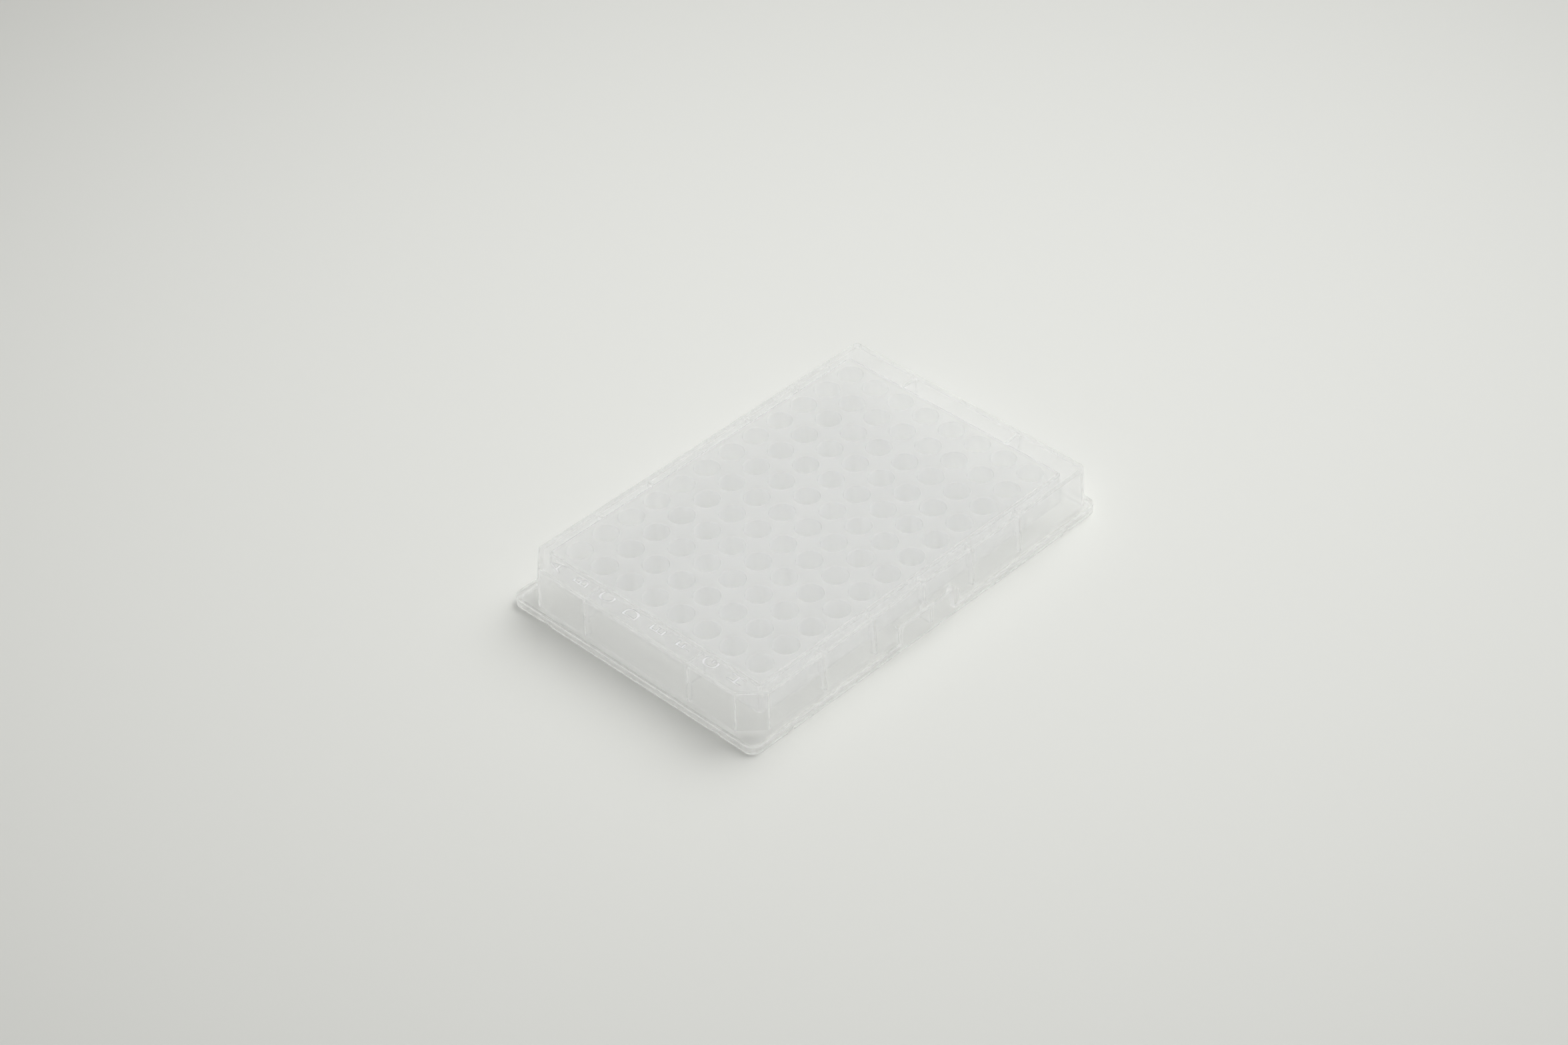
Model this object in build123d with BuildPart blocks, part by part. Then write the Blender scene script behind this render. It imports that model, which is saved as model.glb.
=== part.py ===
from build123d import *
import os
from math import radians, tan

# A 96-well microplate, injection moulded in polypropylene as one piece, in millimetres.
# The origin is on the table under the centre of the footprint. +X runs along the columns
# towards column 12, +Y towards row A, and +Z is up. Well A1 is at the notched end, -X, +Y.

# Footprint and wells, at the standard sizes of a microplate
plate_length = 127.76
plate_width = 85.48
plate_height = 14.35
footprint_radius = 3.18
flange_height = 2.41
pitch = 9.0
columns = 12
rows = 8

# Sheet thicknesses of the moulding
wall = 1.2
deck_thickness = 1.5
frame_wall = 1.0
rib_thickness = 0.9

# Body above the flange, which leans in by the draft
draft = 2.0
body_inset = 2.0
notch_leg = 6.1
body_radius = 2.0
edge_radius = 0.3

# Raised pads in the middle of the long sides, flush with the flange
pad_width = 21.8
pad_offset = -1.0
pad_height = 8.0
pad_radius = 2.0

# Relief slots under the flange, near its corners
slot_width = 2.5
slot_height = 0.4
slot_from_corner = 13.0

# Flat-bottomed wells
bore_diameter = 6.96
well_depth = 10.9
well_wall = 0.7

# Frame around the well block, and the ribs that tie it to the outer wall
frame_gap = 0.7
frame_radius = 1.5
frame_bottom = 5.6
web_bottom = 7.0
fin_bottom = 1.8
fin_depth = 1.3
long_side_ribs = [step * pitch for step in (-4, -2, 0, 2, 4)]
short_side_ribs = [step * pitch for step in (-2, 2)]

# Levels and half sizes that follow from the sizes above
body_length = plate_length - 2 * body_inset
body_width = plate_width - 2 * body_inset
tube_radius = bore_diameter / 2 + well_wall
block_margin = 2 * (tube_radius + frame_gap + frame_wall)
frame_length = (columns - 1) * pitch + block_margin
frame_width = (rows - 1) * pitch + block_margin
deck_underside = plate_height - deck_thickness
deck_middle = plate_height - deck_thickness / 2
ledge_underside = flange_height - wall
hollow_margin = wall * tan(radians(draft)) - wall
well_floor = plate_height - well_depth


def rib_profile(plane, frame_middle, wall_middle):
    """A rib's outline on its plane: a web from the frame to the outer wall, and a fin down that wall."""
    fin_face = wall_middle - wall / 2 - fin_depth
    with BuildSketch(plane) as profile:
        with BuildLine():
            Polyline(
                (frame_middle, web_bottom),
                (fin_face, web_bottom),
                (fin_face, fin_bottom),
                (wall_middle, fin_bottom),
                (wall_middle, deck_middle),
                (frame_middle, deck_middle),
                close=True,
            )
        make_face()
    return profile.sketch


with BuildPart() as well_plate:
    # Flange, and the body on it with notched corners at the column 1 end
    with BuildSketch(Plane.XY):
        RectangleRounded(plate_length, plate_width, footprint_radius)
    extrude(amount=flange_height)
    flange_rim = well_plate.faces().sort_by(Axis.Z)[-1].outer_wire().edges()
    fillet(flange_rim, radius=edge_radius)
    with BuildSketch(Plane.XY.offset(flange_height)) as body_outline:
        Rectangle(body_length, body_width)
        chamfer(body_outline.vertices().group_by(Axis.X)[0], length=notch_leg)
        fillet(body_outline.vertices().group_by(Axis.X)[-1], radius=body_radius)
    extrude(amount=plate_height - flange_height, taper=draft)
    deck_rim = well_plate.faces().sort_by(Axis.Z)[-1].outer_wire().edges()
    fillet(deck_rim, radius=edge_radius)

    # Pads on both long sides, with rounded shoulders
    with BuildSketch(Plane.XZ) as pad_outline:
        with Locations((pad_offset, pad_height / 2)):
            Rectangle(pad_width, pad_height)
        fillet(pad_outline.vertices().group_by(Axis.Y)[-1], radius=pad_radius)
    extrude(amount=plate_width / 2, both=True)

    # Hollow underside, which follows the flange, the body and the pads at one wall thickness
    with BuildSketch(Plane.XY):
        RectangleRounded(plate_length - 2 * wall, plate_width - 2 * wall, footprint_radius - wall)
    extrude(amount=ledge_underside, mode=Mode.SUBTRACT)
    with BuildSketch(Plane.XY.offset(ledge_underside)):
        add(body_outline.sketch_local)
        offset(amount=hollow_margin, kind=Kind.INTERSECTION, mode=Mode.REPLACE)
    extrude(amount=deck_underside - ledge_underside, taper=draft, mode=Mode.SUBTRACT)
    with BuildSketch(Plane.XZ) as pad_hollow:
        with Locations((pad_offset, (pad_height - wall) / 2)):
            Rectangle(pad_width - 2 * wall, pad_height - wall)
        fillet(pad_hollow.vertices().group_by(Axis.Y)[-1], radius=pad_radius - wall)
    extrude(amount=plate_width / 2 - wall, both=True, mode=Mode.SUBTRACT)

    # Relief slots through the bottom of the flange
    with BuildSketch(Plane.XY):
        with GridLocations(plate_length - 2 * slot_from_corner, plate_width, 2, 2):
            Rectangle(slot_width, 3 * wall)
        with GridLocations(plate_length, plate_width - 2 * slot_from_corner, 2, 2):
            Rectangle(3 * wall, slot_width)
    extrude(amount=slot_height, mode=Mode.SUBTRACT)

    # Frame around the well block
    with BuildSketch(Plane.XY.offset(frame_bottom)):
        RectangleRounded(frame_length, frame_width, frame_radius)
        offset(amount=-frame_wall, mode=Mode.SUBTRACT)
    extrude(amount=deck_middle - frame_bottom)

    # Ribs between the frame and the outer wall, and dividers that carry two of them into the pads
    for side in (-1, 1):
        for station in long_side_ribs:
            across = Plane((station, 0, 0), x_dir=(0, side, 0), z_dir=(side, 0, 0))
            web = rib_profile(across, (frame_width - frame_wall) / 2, (body_width - wall) / 2)
            extrude(web, amount=rib_thickness / 2, both=True)
        for station in short_side_ribs:
            along = Plane((0, station, 0), x_dir=(side, 0, 0), z_dir=(0, -side, 0))
            web = rib_profile(along, (frame_length - frame_wall) / 2, (body_length - wall) / 2)
            extrude(web, amount=rib_thickness / 2, both=True)
    with BuildSketch(Plane.XY.offset(fin_bottom)):
        with GridLocations(0, (plate_width + body_width) / 2 - wall, 1, 2):
            Rectangle(rib_thickness, body_inset + wall)
    extrude(amount=pad_height - wall / 2 - fin_bottom)

    # Wells: round tubes under the deck, bored from above
    with BuildSketch(Plane.XY.offset(well_floor - well_wall)):
        with GridLocations(pitch, pitch, columns, rows):
            Circle(tube_radius)
    extrude(amount=deck_middle - well_floor + well_wall)
    with BuildSketch(Plane.XY.offset(well_floor)):
        with GridLocations(pitch, pitch, columns, rows):
            Circle(bore_diameter / 2)
    extrude(amount=well_depth, mode=Mode.SUBTRACT)

well_plate.part.label = "well_plate"
os.makedirs("parts", exist_ok=True)
export_step(well_plate.part, "parts/well_plate.step")
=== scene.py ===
"""A 96-well plate in natural polypropylene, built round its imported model, and a small studio for it."""

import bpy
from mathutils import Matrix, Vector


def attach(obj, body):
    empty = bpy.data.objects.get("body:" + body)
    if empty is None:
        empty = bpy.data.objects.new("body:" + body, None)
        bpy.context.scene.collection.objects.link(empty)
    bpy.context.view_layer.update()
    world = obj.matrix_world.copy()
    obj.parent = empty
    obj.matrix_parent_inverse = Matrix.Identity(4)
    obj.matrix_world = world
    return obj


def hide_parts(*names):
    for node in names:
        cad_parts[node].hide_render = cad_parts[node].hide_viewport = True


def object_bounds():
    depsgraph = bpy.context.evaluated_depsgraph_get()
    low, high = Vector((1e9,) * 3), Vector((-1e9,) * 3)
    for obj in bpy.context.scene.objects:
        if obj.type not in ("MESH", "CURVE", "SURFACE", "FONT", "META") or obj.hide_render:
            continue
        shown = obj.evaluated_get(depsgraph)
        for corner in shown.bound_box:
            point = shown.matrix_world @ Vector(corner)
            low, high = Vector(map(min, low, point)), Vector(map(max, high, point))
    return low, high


bl_info = {
    "name": "Well Plate",
    "version": (1, 0, 0),
    "blender": (4, 5, 0),
    "location": "3D View > Sidebar > Well Plate",
    "description": "Builds a translucent 96-well plate with its row letters, and a studio to show it in",
    "category": "Add Mesh",
}

import math

import bmesh
import bpy
from bpy.props import FloatProperty, IntProperty, PointerProperty, StringProperty
from mathutils import Matrix, Vector

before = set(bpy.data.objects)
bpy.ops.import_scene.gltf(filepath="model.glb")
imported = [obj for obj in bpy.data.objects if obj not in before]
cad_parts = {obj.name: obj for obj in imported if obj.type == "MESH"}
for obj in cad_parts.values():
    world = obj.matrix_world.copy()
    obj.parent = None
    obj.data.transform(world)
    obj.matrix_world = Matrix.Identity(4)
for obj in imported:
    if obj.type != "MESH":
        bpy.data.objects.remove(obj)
LOW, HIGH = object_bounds()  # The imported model's box

MM = 0.001
BODY = "root"
PLATE_NODE = "well_plate"

# Limits by which the mesh tools tell points, edges and faces apart
TOUCHING = 0.0001 * MM  # Points closer than this are one
TYPE_TOUCHING = 0.0001  # The same in a letter before it is scaled, in heights of the type
SAME_LEVEL = 0.001 * MM  # Points are at one height within this
UPRIGHT = 0.9  # Share of an upright edge's length that lies along Z, at least
SIDEWAYS = 0.5  # Z part of the normal of a face that looks sideways, at most
SHARP_ANGLE = math.radians(35)  # Edges that turn by more than this stay crisp

# Flats along each kind of rounding
FLANGE_CORNER_FLATS = 10
SKIRT_CORNER_FLATS = 6
FRAME_CORNER_FLATS = 5
FRAME_HOLE_FLATS = 3
PAD_FLATS = 4
EDGE_FLATS = 3
WELL_FOOT_FLATS = 4
WELL_RIM_FLATS = 3

SMALLEST_CORNER = 0.4 * MM  # Radius that a round corner keeps on the inside, however thick the wall
PAST_WALL = 1.5  # Reach of a divider or a slot, in thicknesses of the wall that it passes through
LONG_SIDE_RIBS = (0, 2, 4)  # Ribs of the long sides, in pitches from the middle
SHORT_SIDE_RIBS = (2,)  # Ribs of the short sides
LETTER_FLOOR = 0.1  # A point within this of the letters' floors is on them, in depths of the letters

# The studio's fixed places and limits
FLOOR_REACH = 6.0  # From the middle of the floor to its sides, in metres
PAINTED_POOL_MIDDLE = Vector((102, 19, 0)) * MM  # Middle of the pool of light painted into the floor's colour, which darkens away from here as painted shade
AIM = Vector((5.27, 13.82, 0)) * MM  # Point that the camera aims at
SENSOR = 36.0  # Width of the camera's sensor, in millimetres
NEAREST = 0.01  # Nearest thing that the camera sees, in metres
BOUNCES = 128  # Enough for light to cross the walls of several wells
NO_BOUNCE = 0.5  # A count of bounces below this is none


# -----------------------------------------------------------------------------------------------------------
# Settings that a user would change


def length(name, description, millimetres):
    """A length property whose default is given in millimetres."""
    return FloatProperty(name=name, description=description, default=millimetres * MM, min=0.0,
                         unit="LENGTH", subtype="DISTANCE", precision=5)


def angle(name, description, degrees):
    """An angle property whose default is given in degrees."""
    return FloatProperty(name=name, description=description, default=math.radians(degrees),
                         unit="ROTATION", subtype="ANGLE")


def share(name, description, default):
    """A property between 0 and 1."""
    return FloatProperty(name=name, description=description, default=default, min=0.0, max=1.0,
                         subtype="FACTOR")


def hex_value(name, description, default):
    """A colour property, as an sRGB hex value."""
    return StringProperty(name=name, description=description + ", as an sRGB hex value", default=default)


class PlateSizes(bpy.types.PropertyGroup):
    """Sizes of the moulding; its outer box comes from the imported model"""

    pitch: length("Pitch", "Distance between neighbouring wells", 9.0)
    columns: IntProperty(name="Columns", description="Wells along the long side", default=12, min=1)
    rows: IntProperty(name="Rows", description="Wells along the short side", default=8, min=1, max=26)
    wall: length("Wall", "Thickness of the skirt, the flange and the ledge over it", 1.2)
    deck: length("Deck", "Thickness of the deck", 1.5)
    flange_height: length("Flange height", "Height of the ledge above the table", 2.41)
    flange_radius: length("Flange radius", "Corner radius of the flange", 3.18)
    inset: length("Inset", "Distance from the flange's edge in to the foot of the skirt", 2.0)
    lean: length("Lean", "How far the skirt leans in from its foot to the deck", 0.417)
    notch: length("Notch", "Leg of the two corner notches, at the foot of the skirt", 6.1)
    corner_radius: length("Corner radius", "Radius of the skirt's two round corners", 2.0)
    edge_radius: length("Edge radius", "Rounding of the deck's rim and of the flange's edge", 0.3)
    pad_width: length("Pad width", "Width of the pads on the long sides", 21.8)
    pad_shift: length("Pad shift", "How far the pads sit off the middle, towards column 1", 1.0)
    pad_height: length("Pad height", "Height of the pads above the table", 8.0)
    pad_radius: length("Pad radius", "Rounding of the pads' shoulders", 2.0)
    slot_width: length("Slot width", "Width of the relief slots under the flange", 2.5)
    slot_height: length("Slot height", "Height of the relief slots under the flange", 0.4)
    slot_place: length("Slot place", "Distance of each relief slot from its corner", 13.0)
    bore: length("Bore", "Diameter of a well", 6.96)
    depth: length("Depth", "Depth of a well", 10.9)
    well_wall: length("Well wall", "Thickness of a well's wall and floor", 0.7)
    well_round: length("Well round", "Rounding at the foot of a well, inside and outside", 0.5)
    well_rim: length("Well rim", "Rounding of a well's mouth", 0.15)
    frame_gap: length("Frame gap", "Gap between the outermost wells and the frame around them", 0.7)
    frame_wall: length("Frame wall", "Thickness of the frame around the wells", 1.0)
    frame_radius: length("Frame radius", "Corner radius of the frame around the wells", 1.5)
    frame_bottom: length("Frame bottom", "Height of the frame's lower edge above the table", 5.6)
    rib: length("Rib", "Thickness of the ribs between the frame and the skirt", 0.9)
    web_bottom: length("Web bottom", "Height of the ribs' webs above the table", 7.0)
    fin_bottom: length("Fin bottom", "Height of the ribs' fins above the table", 1.8)
    fin_depth: length("Fin depth", "How far a fin stands out of the skirt", 1.3)
    letter_height: length("Letter height", "Height of the row letters", 4.5)
    letter_width: length("Letter width", "Width of an H among the row letters", 2.8)
    letter_depth: length("Letter depth", "Depth of the row letters in the deck", 0.25)
    letter_place: length("Letter place", "Distance from the row letters' middle to the end of the plate", 6.4)
    facets: IntProperty(name="Facets", description="Flats round a well", default=48, min=12, max=96)


class PolypropyleneFinish(bpy.types.PropertyGroup):
    """How the polypropylene looks"""

    colour: hex_value("Colour", "Clear part of the polypropylene", "#FEFEFE")
    veil: hex_value("Veil", "Milky part of the polypropylene", "#FEFEFF")
    grain: share("Grain", "Roughness of the faces round the wells, which have a fine grain", 0.276)
    polish: share("Polish", "Roughness of the skirt and of the deck's border, which are smoother", 0.25)
    back: share("Back", "Roughness of any face as light comes out through it", 0.02)
    bloom: share("Bloom", "Share of the light that the milky part turns back as it goes in", 0.08)
    etching: share("Etching", "The same share in the etched row letters", 0.6)
    haze: share("Haze", "Share of the light that the milky part spreads as it comes out", 0.3)


class StudioSettings(bpy.types.PropertyGroup):
    """Floor, light and camera"""

    # The floor's two colours and its fall paint light: a painted pool of light round the plate that turns to
    # painted shade far out
    floor: hex_value("Floor", "Colour of the floor round the plate", "#F8F9F4")
    floor_painted_shade: hex_value("Floor edge", "Colour of the floor far out", "#C0C0BB")
    painted_shade_reach: length("Floor fall", "Distance over which the floor takes its colour far out", 450.0)
    backdrop: hex_value("Backdrop", "Pale surround that shows in the plastic", "#E3E4DF")
    fill: FloatProperty(name="Fill", description="Light from all round, where 1 is white", default=0.39)
    key: FloatProperty(name="Key", description="Light that the middle of the big softbox adds", default=3.6)
    key_size: angle("Key size", "How far the softbox reaches from its middle", 34.0)
    key_azimuth: angle("Key azimuth", "Direction of the softbox, 0 along +X", 5.0)
    key_height: angle("Key height", "Height of the softbox above the horizon", 48.0)
    air: length("Air", "Thickness of the film of air that stays between the plate and the floor", 0.05)
    azimuth: angle("Azimuth", "Direction of the view, 0 along +Y", -44.854)
    elevation: angle("Elevation", "Height of the view above the horizon", 39.228)
    roll: angle("Roll", "Tilt of the camera about its own axis", -1.863)
    distance: length("Distance", "From the camera to the point it aims at", 921.0)
    lens: FloatProperty(name="Lens", description="Focal length, in millimetres", default=81.78, unit="CAMERA")


# -----------------------------------------------------------------------------------------------------------
# Mesh tools


def block(low, high):
    """A box between two opposite corners, as a new bmesh."""
    bm = bmesh.new()
    low, high = Vector(low), Vector(high)
    bmesh.ops.create_cube(bm, size=1.0, matrix=Matrix.LocRotScale((low + high) / 2, None, high - low))
    return bm


def centred_block(half_x, half_y, bottom, top):
    """A box centred on the Z axis, from half its two sides, as a new bmesh."""
    return block((-half_x, -half_y, bottom), (half_x, half_y, top))


def vertices(geometry):
    """The vertices among some mixed mesh elements."""
    return [part for part in geometry if isinstance(part, bmesh.types.BMVert)]


def round_edges(bm, edges, offset, segments):
    """Bevels some edges: one segment makes a chamfer, several make a round."""
    bmesh.ops.bevel(bm, geom=list(edges), offset=offset, offset_type="OFFSET", affect="EDGES",
                    segments=segments, profile=0.5, material=-1)


def upright(edge):
    """True for an edge that joins the top of a block to its bottom."""
    a, b = edge.verts
    return abs((a.co - b.co).z) > UPRIGHT * (a.co - b.co).length


def round_corners(bm, radius, segments):
    """Rounds the upright edges of a block."""
    round_edges(bm, [e for e in bm.edges if upright(e)], radius, segments)


def level(bm, height):
    """The edges that lie at one height."""
    return [e for e in bm.edges if all(abs(v.co.z - height) < SAME_LEVEL for v in e.verts)]


def outer_rim(bm, height):
    """The edges round the top face at one height."""
    return [e for e in level(bm, height) if any(abs(f.normal.z) < SIDEWAYS for f in e.link_faces)]


def revolve(profile, centres, facets):
    """Turns a profile of (radius, height) points about Z, and puts a copy at each centre, as a new bmesh."""
    bm = bmesh.new()
    verts = [bm.verts.new((radius, 0, height)) for radius, height in profile]
    edges = [bm.edges.new(pair) for pair in zip(verts, verts[1:])]
    bmesh.ops.spin(bm, geom=verts + edges, cent=(0, 0, 0), axis=(0, 0, 1), angle=math.tau, steps=facets,
                   use_merge=True)
    bmesh.ops.remove_doubles(bm, verts=bm.verts, dist=TOUCHING)
    bmesh.ops.recalc_face_normals(bm, faces=bm.faces)
    seed = bm.verts[:] + bm.edges[:] + bm.faces[:]
    for centre in centres:
        copy = bmesh.ops.duplicate(bm, geom=seed)["geom"]
        bmesh.ops.translate(bm, verts=vertices(copy), vec=centre)
    bmesh.ops.delete(bm, geom=vertices(seed), context="VERTS")
    return bm


def arc(centre, radius, start, end, steps):
    """Points of (radius, height) along an arc, with its angles in degrees."""
    angles = [math.radians(start + (end - start) * step / steps) for step in range(steps + 1)]
    return [(centre[0] + radius * math.cos(a), centre[1] + radius * math.sin(a)) for a in angles]


def to_object(bm, name):
    """Moves a bmesh into a new object of the scene."""
    mesh = bpy.data.meshes.new(name)
    bm.to_mesh(mesh)
    bm.free()
    made = bpy.data.objects.new(name, mesh)
    bpy.context.scene.collection.objects.link(made)
    return made


def remove(made):
    """Removes an object and its mesh."""
    mesh = made.data
    bpy.data.objects.remove(made)
    bpy.data.meshes.remove(mesh)


def bake_modifiers(target):
    """Applies an object's modifiers to its mesh."""
    graph = bpy.context.evaluated_depsgraph_get()
    result = bpy.data.meshes.new_from_object(target.evaluated_get(graph))
    old = target.data
    target.modifiers.clear()
    target.data = result
    result.name = old.name
    bpy.data.meshes.remove(old)


def combine(target, operation, *parts):
    """Joins closed shapes to an object or cuts them from it, and removes the shapes."""
    tools = [to_object(bm, "tool") for bm in parts]
    for tool in tools:
        modifier = target.modifiers.new(operation.title(), "BOOLEAN")
        modifier.operation = operation
        modifier.solver = "MANIFOLD"
        modifier.object = tool
    bake_modifiers(target)
    for tool in tools:
        remove(tool)


# -----------------------------------------------------------------------------------------------------------
# The moulding


def skirt_block(sizes, margin, bottom, top):
    """The leaning body with its two notched corners, shrunk all round by a margin."""
    foot = Vector((HIGH.x - sizes.inset, HIGH.y - sizes.inset, 0))
    rise = HIGH.z - sizes.flange_height

    def half(height):
        lean = sizes.lean * (height - sizes.flange_height) / rise
        return foot.x - lean - margin, foot.y - lean - margin

    bm = centred_block(*half(bottom), bottom, top)
    shrink = [at_top / at_bottom for at_top, at_bottom in zip(half(top), half(bottom))]
    bmesh.ops.scale(bm, vec=(*shrink, 1), verts=[v for v in bm.verts if v.co.z > (bottom + top) / 2])
    # Shrinking the body by the margin takes this much off the leg of a 45 degree notch.
    notch = sizes.notch - margin * (2 - math.sqrt(2))
    round_edges(bm, [e for e in bm.edges if upright(e) and e.verts[0].co.x < 0], notch, 1)
    radius = max(sizes.corner_radius - margin, SMALLEST_CORNER)
    round_edges(bm, [e for e in bm.edges if upright(e) and e.verts[0].co.x > 0], radius, SKIRT_CORNER_FLATS)
    return bm


def flange_block(sizes, margin, bottom, top):
    """The flange's rounded rectangle, shrunk all round by a margin."""
    bm = centred_block(HIGH.x - margin, HIGH.y - margin, bottom, top)
    round_corners(bm, sizes.flange_radius - margin, FLANGE_CORNER_FLATS)
    return bm


def pad_block(sizes, margin, width):
    """The bar that makes the pads on both long sides, shrunk by a margin."""
    half = sizes.pad_width / 2 - margin
    top = sizes.pad_height - margin
    bm = block((-sizes.pad_shift - half, -width / 2, LOW.z), (half - sizes.pad_shift, width / 2, top))
    shoulders = [e for e in level(bm, top) if abs((e.verts[0].co - e.verts[1].co).y) > width / 2]
    round_edges(bm, shoulders, sizes.pad_radius - margin, PAD_FLATS)
    return bm


def row_y(sizes, row):
    """The Y coordinate of a row of wells, where row A is number 0."""
    return ((sizes.rows - 1) / 2 - row) * sizes.pitch


def well_centres(sizes):
    """The centres of all wells at table height, row by row from row A."""
    across = [(column - (sizes.columns - 1) / 2) * sizes.pitch for column in range(sizes.columns)]
    return [(x, row_y(sizes, row), 0) for row in range(sizes.rows) for x in across]


def well_field(sizes):
    """Half the length and half the width of the field of wells, out to the frame round it."""
    margin = sizes.bore / 2 + sizes.well_wall + sizes.frame_gap
    return Vector((sizes.columns - 1, sizes.rows - 1)) * sizes.pitch / 2 + Vector((margin, margin))


def mirrored(bars):
    """Blocks for boxes given by two opposite corners, and for their mirror images across X and across Y."""
    corners = {tuple(sorted((x * low.x, x * high.x)) + sorted((y * low.y, y * high.y)) + [low.z, high.z])
               for low, high in bars for x in (-1, 1) for y in (-1, 1)}
    return [block((x0, y0, z0), (x1, y1, z1)) for x0, x1, y0, y1, z0, z1 in sorted(corners)]


def rib_blocks(sizes):
    """Each rib as a web from the frame to the skirt and a fin down the skirt, and the pads' dividers."""
    half = sizes.rib / 2
    deck_middle = HIGH.z - sizes.deck / 2
    frame_middle = well_field(sizes) + Vector((1, 1)) * sizes.frame_wall / 2
    wall_middle = Vector((HIGH.x, HIGH.y)) - Vector((1, 1)) * (sizes.inset + sizes.wall / 2)
    fin_face = wall_middle - Vector((1, 1)) * (sizes.wall / 2 + sizes.fin_depth)
    bars = []
    for start, bottom in ((frame_middle, sizes.web_bottom), (fin_face, sizes.fin_bottom)):
        for x in [step * sizes.pitch for step in LONG_SIDE_RIBS]:
            bars.append((Vector((x - half, start.y, bottom)), Vector((x + half, wall_middle.y, deck_middle))))
        for y in [step * sizes.pitch for step in SHORT_SIDE_RIBS]:
            bars.append((Vector((start.x, y - half, bottom)), Vector((wall_middle.x, y + half, deck_middle))))
    bars.append((Vector((-half, HIGH.y - sizes.inset - PAST_WALL * sizes.wall, sizes.fin_bottom)),
                 Vector((half, HIGH.y - sizes.wall / 2, sizes.pad_height - sizes.wall / 2))))
    return mirrored(bars)


def slot_blocks(sizes):
    """The relief slots through the bottom of the flange, two on each side."""
    half = sizes.slot_width / 2
    edge = Vector((HIGH.x, HIGH.y))
    reach = Vector((1, 1)) * PAST_WALL * sizes.wall
    inner, outer = edge - reach, edge + reach
    place = edge - Vector((1, 1)) * sizes.slot_place
    under, top = LOW.z - sizes.slot_height, LOW.z + sizes.slot_height
    return mirrored([(Vector((place.x - half, inner.y, under)), Vector((place.x + half, outer.y, top))),
                     (Vector((inner.x, place.y - half, under)), Vector((outer.x, place.y + half, top)))])


def flat_letter(text, letter):
    """One letter of a text object as flat faces, as a new bmesh."""
    text.data.body = letter
    graph = bpy.context.evaluated_depsgraph_get()
    bm = bmesh.new()
    bm.from_mesh(text.evaluated_get(graph).to_mesh())
    bmesh.ops.remove_doubles(bm, verts=bm.verts, dist=TYPE_TOUCHING)
    return bm


def extent(bm, axis):
    """The lowest and the highest coordinate of a bmesh along one axis."""
    values = [v.co[axis] for v in bm.verts]
    return min(values), max(values)


def letter_blocks(sizes):
    """The row letters, A to H from the +Y side, as solids that reach from inside the deck to above it."""
    font = bpy.data.curves.new("row_letter", "FONT")
    font.align_x = "CENTER"
    text = bpy.data.objects.new("row_letter", font)
    bpy.context.scene.collection.objects.link(text)
    pattern = flat_letter(text, "H")
    (left, right), (foot, head) = extent(pattern, 0), extent(pattern, 1)
    pattern.free()
    scale = (sizes.letter_width / (right - left), sizes.letter_height / (head - foot), 1)
    blocks = []
    for row in range(sizes.rows):
        bm = flat_letter(text, chr(ord("A") + row))
        left, right = extent(bm, 0)
        bmesh.ops.translate(bm, verts=bm.verts, vec=(-(right + left) / 2, -(head + foot) / 2, 0))
        bmesh.ops.scale(bm, verts=bm.verts, vec=scale)
        place = (LOW.x + sizes.letter_place, row_y(sizes, row), HIGH.z - sizes.letter_depth)
        bmesh.ops.translate(bm, verts=bm.verts, vec=place)
        top = bmesh.ops.extrude_face_region(bm, geom=bm.faces[:])["geom"]
        bmesh.ops.translate(bm, verts=vertices(top), vec=(0, 0, 2 * sizes.letter_depth))
        bmesh.ops.recalc_face_normals(bm, faces=bm.faces)
        blocks.append(bm)
    bpy.data.objects.remove(text)
    bpy.data.curves.remove(font)
    return blocks


def frame_ring(sizes):
    """The frame that runs round the wells under the deck, as a new bmesh."""
    inner = well_field(sizes)
    outer = inner + Vector((1, 1)) * sizes.frame_wall
    solid = centred_block(*outer, sizes.frame_bottom, HIGH.z - sizes.deck / 2)
    round_corners(solid, sizes.frame_radius, FRAME_CORNER_FLATS)
    hole = centred_block(*inner, LOW.z, HIGH.z)
    round_corners(hole, sizes.frame_radius - sizes.frame_wall, FRAME_HOLE_FLATS)
    band = to_object(solid, "band")
    combine(band, "DIFFERENCE", hole)
    ring = bmesh.new()
    ring.from_mesh(band.data)
    remove(band)
    return ring


def tubes(sizes):
    """The closed tubes that hold the wells, solid, from their floors up into the deck."""
    radius = sizes.bore / 2 + sizes.well_wall
    under = HIGH.z - sizes.depth - sizes.well_wall
    foot = sizes.well_round
    top = HIGH.z - sizes.deck / 2
    profile = [(0, under), *arc((radius - foot, under + foot), foot, -90, 0, WELL_FOOT_FLATS),
               (radius, top), (0, top)]
    return revolve(profile, well_centres(sizes), sizes.facets)


def bores(sizes):
    """The hollows of the wells, up through the deck, with a rounded mouth."""
    radius = sizes.bore / 2
    floor = HIGH.z - sizes.depth
    foot, rim = sizes.well_round, sizes.well_rim
    profile = [(0, floor), *arc((radius - foot, floor + foot), foot, -90, 0, WELL_FOOT_FLATS),
               *arc((radius + rim, HIGH.z - rim), rim, 180, 90, WELL_RIM_FLATS),
               (radius + rim, HIGH.z + rim), (0, HIGH.z + rim)]
    return revolve(profile, well_centres(sizes), sizes.facets)


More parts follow.
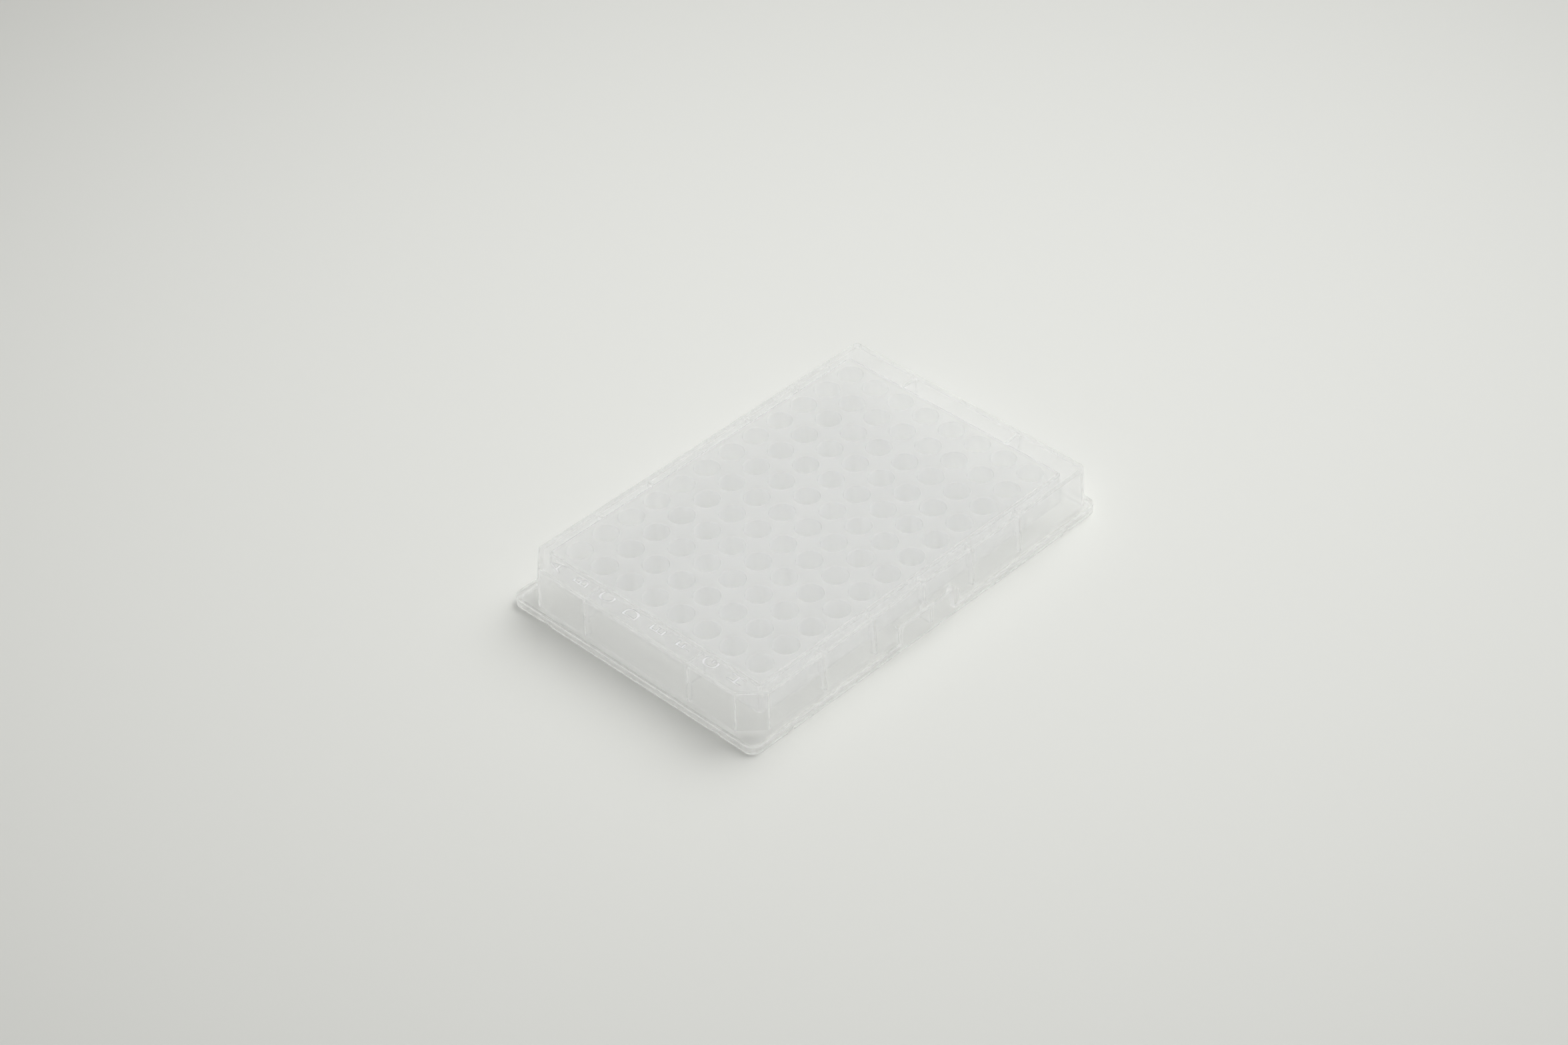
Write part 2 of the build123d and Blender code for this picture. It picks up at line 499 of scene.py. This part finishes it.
def build_moulding(sizes):
    """The whole plate as one closed mesh."""
    ledge_under = sizes.flange_height - sizes.wall
    deck_under = HIGH.z - sizes.deck
    flange = flange_block(sizes, 0, LOW.z, sizes.flange_height)
    round_edges(flange, outer_rim(flange, sizes.flange_height), sizes.edge_radius, EDGE_FLATS)
    skirt = skirt_block(sizes, 0, sizes.flange_height - sizes.wall / 2, HIGH.z)
    round_edges(skirt, outer_rim(skirt, HIGH.z), sizes.edge_radius, EDGE_FLATS)
    plate = to_object(flange, "plate_moulding")
    combine(plate, "UNION", skirt, pad_block(sizes, 0, 2 * HIGH.y))
    combine(plate, "DIFFERENCE",
            flange_block(sizes, sizes.wall, LOW.z - sizes.wall, ledge_under),
            skirt_block(sizes, sizes.wall, ledge_under - sizes.wall / 2, deck_under),
            pad_block(sizes, sizes.wall, 2 * (HIGH.y - sizes.wall)),
            *slot_blocks(sizes))
    combine(plate, "UNION", frame_ring(sizes), *rib_blocks(sizes), tubes(sizes))
    combine(plate, "DIFFERENCE", bores(sizes), *letter_blocks(sizes))
    return plate


def finish_surface(target):
    """Smooth shading that keeps sharp edges crisp and flat faces flat."""
    mesh = target.data
    mesh.shade_smooth()
    mesh.set_sharp_from_angle(angle=SHARP_ANGLE)
    modifier = target.modifiers.new("Even normals", "WEIGHTED_NORMAL")
    modifier.keep_sharp = True


# -----------------------------------------------------------------------------------------------------------
# Materials


def linear(colour):
    """Turns an sRGB hex value into the linear colour that a shader takes."""
    channels = [int(colour[place:place + 2], 16) / 255 for place in (1, 3, 5)]
    return (*(c / 12.92 if c <= 0.04045 else ((c + 0.055) / 1.055) ** 2.4 for c in channels), 1.0)


def add_node(tree, kind, inputs=None, **settings):
    """Adds a node, sets its properties, and sets or links its inputs."""
    node = tree.nodes.new(kind)
    for name, value in settings.items():
        setattr(node, name, value)
    for name, value in (inputs or {}).items():
        if isinstance(value, bpy.types.NodeSocket):
            tree.links.new(value, node.inputs[name])
        else:
            node.inputs[name].default_value = value
    return node


def new_material(name):
    """A material with an empty node tree."""
    material = bpy.data.materials.new(name)
    material.use_nodes = True
    material.node_tree.nodes.clear()
    return material


def front_roughness(tree, place, finish, sizes):
    """Roughness as light goes in: the grain covers the field of wells and stops at the frame round it."""
    one_quarter = add_node(tree, "ShaderNodeVectorMath", {0: place}, operation="ABSOLUTE")
    past_field = add_node(tree, "ShaderNodeVectorMath", {
        0: one_quarter.outputs["Vector"],
        1: well_field(sizes).to_3d(),
    }, operation="SUBTRACT")
    past = add_node(tree, "ShaderNodeSeparateXYZ", {"Vector": past_field.outputs["Vector"]}).outputs
    furthest = add_node(tree, "ShaderNodeMath", {0: past["X"], 1: past["Y"]}, operation="MAXIMUM")
    roughness = add_node(tree, "ShaderNodeMapRange", {
        "Value": furthest.outputs["Value"],
        "From Min": 0.0,
        "From Max": sizes.frame_wall,
        "To Min": finish.grain,
        "To Max": finish.polish,
    })
    return roughness.outputs["Result"]


def milky_share(tree, place, inside, finish, sizes):
    """Share of the light that the milky part takes, as it goes in and as it comes out."""
    # The letters are etched into the mould, so their floors are milkier.
    height = add_node(tree, "ShaderNodeSeparateXYZ", {"Vector": place})
    etched = add_node(tree, "ShaderNodeMath", {
        0: height.outputs["Z"],
        1: HIGH.z - sizes.letter_depth,
        2: LETTER_FLOOR * sizes.letter_depth,
    }, operation="COMPARE")
    turned_back = add_node(tree, "ShaderNodeMix", {
        "Factor": etched.outputs["Value"],
        "A": finish.bloom,
        "B": finish.etching,
    })
    # Coming out, each point of the surface is either clear or milky, as tiny crystals make it.
    speck = add_node(tree, "ShaderNodeTexWhiteNoise", {"Vector": place}, noise_dimensions="3D")
    spread = add_node(tree, "ShaderNodeMath", {0: speck.outputs["Value"], 1: finish.haze},
                      operation="LESS_THAN")
    milky = add_node(tree, "ShaderNodeMix", {
        "Factor": inside,
        "A": turned_back.outputs["Result"],
        "B": spread.outputs["Value"],
    })
    return milky.outputs["Result"]


def natural_polypropylene(finish, sizes):
    """Injection-moulded polypropylene with no pigment: clear enough to see into, under a milky veil."""
    material = new_material("natural_polypropylene")
    tree = material.node_tree
    inside = add_node(tree, "ShaderNodeNewGeometry").outputs["Backfacing"]
    place = add_node(tree, "ShaderNodeTexCoord").outputs["Object"]
    roughness = add_node(tree, "ShaderNodeMix", {
        "Factor": inside,
        "A": front_roughness(tree, place, finish, sizes),
        "B": finish.back,
    })
    clear = add_node(tree, "ShaderNodeBsdfPrincipled", {
        "Base Color": linear(finish.colour),
        "Roughness": roughness.outputs["Result"],
        "IOR": 1.49,
        "Transmission Weight": 1.0,
    })
    lit_on = add_node(tree, "ShaderNodeBsdfDiffuse", {"Color": linear(finish.veil)})
    lit_through = add_node(tree, "ShaderNodeBsdfTranslucent", {"Color": linear(finish.veil)})
    veil = add_node(tree, "ShaderNodeMixShader", {
        "Fac": inside,
        1: lit_on.outputs["BSDF"],
        2: lit_through.outputs["BSDF"],
    })
    skin = add_node(tree, "ShaderNodeMixShader", {
        "Fac": milky_share(tree, place, inside, finish, sizes),
        1: clear.outputs["BSDF"],
        2: veil.outputs["Shader"],
    })
    add_node(tree, "ShaderNodeOutputMaterial", {"Surface": skin.outputs["Shader"]})
    return material


def paper_floor(studio):
    """Matt white paper whose colour holds painted light: a painted pool of light beside the plate that fades
    to painted shade far out.
    """
    material = new_material("paper_floor")
    tree = material.node_tree
    place = add_node(tree, "ShaderNodeTexCoord").outputs["Object"]
    offset = add_node(tree, "ShaderNodeVectorMath", {0: place, 1: PAINTED_POOL_MIDDLE}, operation="SUBTRACT")
    distance_squared = add_node(tree, "ShaderNodeVectorMath", {
        0: offset.outputs["Vector"],
        1: offset.outputs["Vector"],
    }, operation="DOT_PRODUCT")
    fall = add_node(tree, "ShaderNodeMapRange", {
        "Value": distance_squared.outputs["Value"],
        "From Max": studio.painted_shade_reach ** 2,
    })
    # Painted light: the floor's colour goes from the bright painted pool near the plate to painted shade far
    # out
    painted_pool_colour = add_node(tree, "ShaderNodeMix", {
        "Factor": fall.outputs["Result"],
        "A": linear(studio.floor),
        "B": linear(studio.floor_painted_shade),
    }, data_type="RGBA")
    paper = add_node(tree, "ShaderNodeBsdfPrincipled", {
        "Base Color": painted_pool_colour.outputs["Result"],
        "Roughness": 0.9,
        "Specular IOR Level": 0.1,
    })
    add_node(tree, "ShaderNodeOutputMaterial", {"Surface": paper.outputs["BSDF"]})
    return material


# -----------------------------------------------------------------------------------------------------------
# The studio


def direction(azimuth, height):
    """The unit vector at an angle round from +X and at an angle above the horizon."""
    flat = math.cos(height)
    return Vector((math.cos(azimuth) * flat, math.sin(azimuth) * flat, math.sin(height)))


def straight_view(tree):
    """One for what shows straight to the camera, or in clear plastic before any matt surface, else zero."""
    path = add_node(tree, "ShaderNodeLightPath").outputs
    in_plastic = add_node(tree, "ShaderNodeMath", {
        0: path["Is Glossy Ray"],
        1: path["Is Transmission Ray"],
    }, operation="MAXIMUM")
    seen = add_node(tree, "ShaderNodeMath", {
        0: path["Is Camera Ray"],
        1: in_plastic.outputs["Value"],
    }, operation="MAXIMUM")
    no_matt = add_node(tree, "ShaderNodeMath", {0: path["Diffuse Depth"], 1: NO_BOUNCE},
                       operation="LESS_THAN")
    both = add_node(tree, "ShaderNodeMath", {
        0: seen.outputs["Value"],
        1: no_matt.outputs["Value"],
    }, operation="MULTIPLY")
    return both.outputs["Value"]


def studio_air(studio):
    """Light from all round and a softbox on one side, behind a pale surround that shows in the plastic."""
    world = bpy.data.worlds.new("studio_air")
    world.use_nodes = True
    world.cycles.sampling_method = "NONE"
    tree = world.node_tree
    tree.nodes.clear()
    way = add_node(tree, "ShaderNodeTexCoord")
    facing = add_node(tree, "ShaderNodeVectorMath", {
        0: way.outputs["Generated"],
        1: direction(studio.key_azimuth, studio.key_height),
    }, operation="DOT_PRODUCT")
    strength = add_node(tree, "ShaderNodeMapRange", {
        "Value": facing.outputs["Value"],
        "From Min": math.cos(studio.key_size),
        "To Min": studio.fill,
        "To Max": studio.fill + studio.key,
    }, interpolation_type="SMOOTHSTEP")
    light = add_node(tree, "ShaderNodeBackground", {
        "Strength": strength.outputs["Result"],
        "Color": (1, 1, 1, 1),
    })
    surround = add_node(tree, "ShaderNodeBackground", {"Color": linear(studio.backdrop)})
    air = add_node(tree, "ShaderNodeMixShader", {
        "Fac": straight_view(tree),
        1: light.outputs["Background"],
        2: surround.outputs["Background"],
    })
    add_node(tree, "ShaderNodeOutputWorld", {"Surface": air.outputs["Shader"]})
    return world


def add_camera(scene, studio):
    """Adds the camera that looks at the plate from the side of row H and column 1."""
    lens = bpy.data.cameras.new("camera")
    lens.sensor_width = SENSOR
    lens.lens = studio.lens
    lens.clip_start = NEAREST
    camera = bpy.data.objects.new("camera", lens)
    back = direction(studio.azimuth - math.pi / 2, studio.elevation)
    aim = (-back).to_track_quat("-Z", "Y").to_matrix()
    turn = Matrix.Rotation(studio.roll, 3, "Z")
    camera.matrix_world = Matrix.LocRotScale(AIM + back * studio.distance, (aim @ turn).to_quaternion(), None)
    scene.collection.objects.link(camera)
    scene.camera = camera


def set_light_paths(cycles):
    """Lets light cross many walls of clear plastic without being cut off or blurred."""
    cycles.max_bounces = BOUNCES
    cycles.transmission_bounces = BOUNCES
    cycles.glossy_bounces = BOUNCES
    cycles.diffuse_bounces = BOUNCES
    cycles.blur_glossy = 0.0
    cycles.sample_clamp_indirect = 0.0


# -----------------------------------------------------------------------------------------------------------
# Operators


class WELLPLATE_OT_moulding(bpy.types.Operator):
    """Build the plate's moulding and give it its plastic"""

    bl_idname = "wellplate.moulding"
    bl_label = "Plate Moulding"
    bl_options = {"REGISTER", "UNDO"}

    def execute(self, context):
        sizes = context.scene.plate_sizes
        plate = build_moulding(sizes)
        finish_surface(plate)
        plate.data.materials.clear()
        plate.data.materials.append(natural_polypropylene(context.scene.plate_finish, sizes))
        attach(plate, BODY)
        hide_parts(PLATE_NODE)
        return {"FINISHED"}


class WELLPLATE_OT_studio(bpy.types.Operator):
    """Set up the floor, the light and the camera"""

    bl_idname = "wellplate.studio"
    bl_label = "Studio"
    bl_options = {"REGISTER", "UNDO"}

    def execute(self, context):
        studio = context.scene.plate_studio
        bm = bmesh.new()
        bmesh.ops.create_grid(bm, x_segments=1, y_segments=1, size=FLOOR_REACH)
        floor = to_object(bm, "floor")
        floor.location.z = -studio.air
        floor.data.materials.append(paper_floor(studio))
        context.scene.world = studio_air(studio)
        context.scene.view_settings.view_transform = "Standard"
        add_camera(context.scene, studio)
        set_light_paths(context.scene.cycles)
        return {"FINISHED"}


class WELLPLATE_PT_panel(bpy.types.Panel):
    """The plate's settings and the steps that build it"""

    bl_idname = "WELLPLATE_PT_panel"
    bl_label = "Well Plate"
    bl_space_type = "VIEW_3D"
    bl_region_type = "UI"
    bl_category = "Well Plate"

    def draw(self, context):
        for settings in (context.scene.plate_sizes, context.scene.plate_finish, context.scene.plate_studio):
            box = self.layout.box()
            for name in settings.__annotations__:
                box.prop(settings, name)
        for operator in OPERATORS:
            self.layout.operator(operator.bl_idname)


OPERATORS = (WELLPLATE_OT_moulding, WELLPLATE_OT_studio)
CLASSES = (PlateSizes, PolypropyleneFinish, StudioSettings, *OPERATORS, WELLPLATE_PT_panel)


def register():
    """Registers the classes and hangs the settings on the scene."""
    for cls in CLASSES:
        bpy.utils.register_class(cls)
    bpy.types.Scene.plate_sizes = PointerProperty(type=PlateSizes)
    bpy.types.Scene.plate_finish = PointerProperty(type=PolypropyleneFinish)
    bpy.types.Scene.plate_studio = PointerProperty(type=StudioSettings)


def unregister():
    """Takes the settings off the scene and unregisters the classes."""
    del bpy.types.Scene.plate_studio
    del bpy.types.Scene.plate_finish
    del bpy.types.Scene.plate_sizes
    for cls in reversed(CLASSES):
        bpy.utils.unregister_class(cls)


def main():
    """Builds the plate and the studio."""
    register()
    bpy.ops.wellplate.moulding()
    bpy.ops.wellplate.studio()


if __name__ == "__main__":
    main()
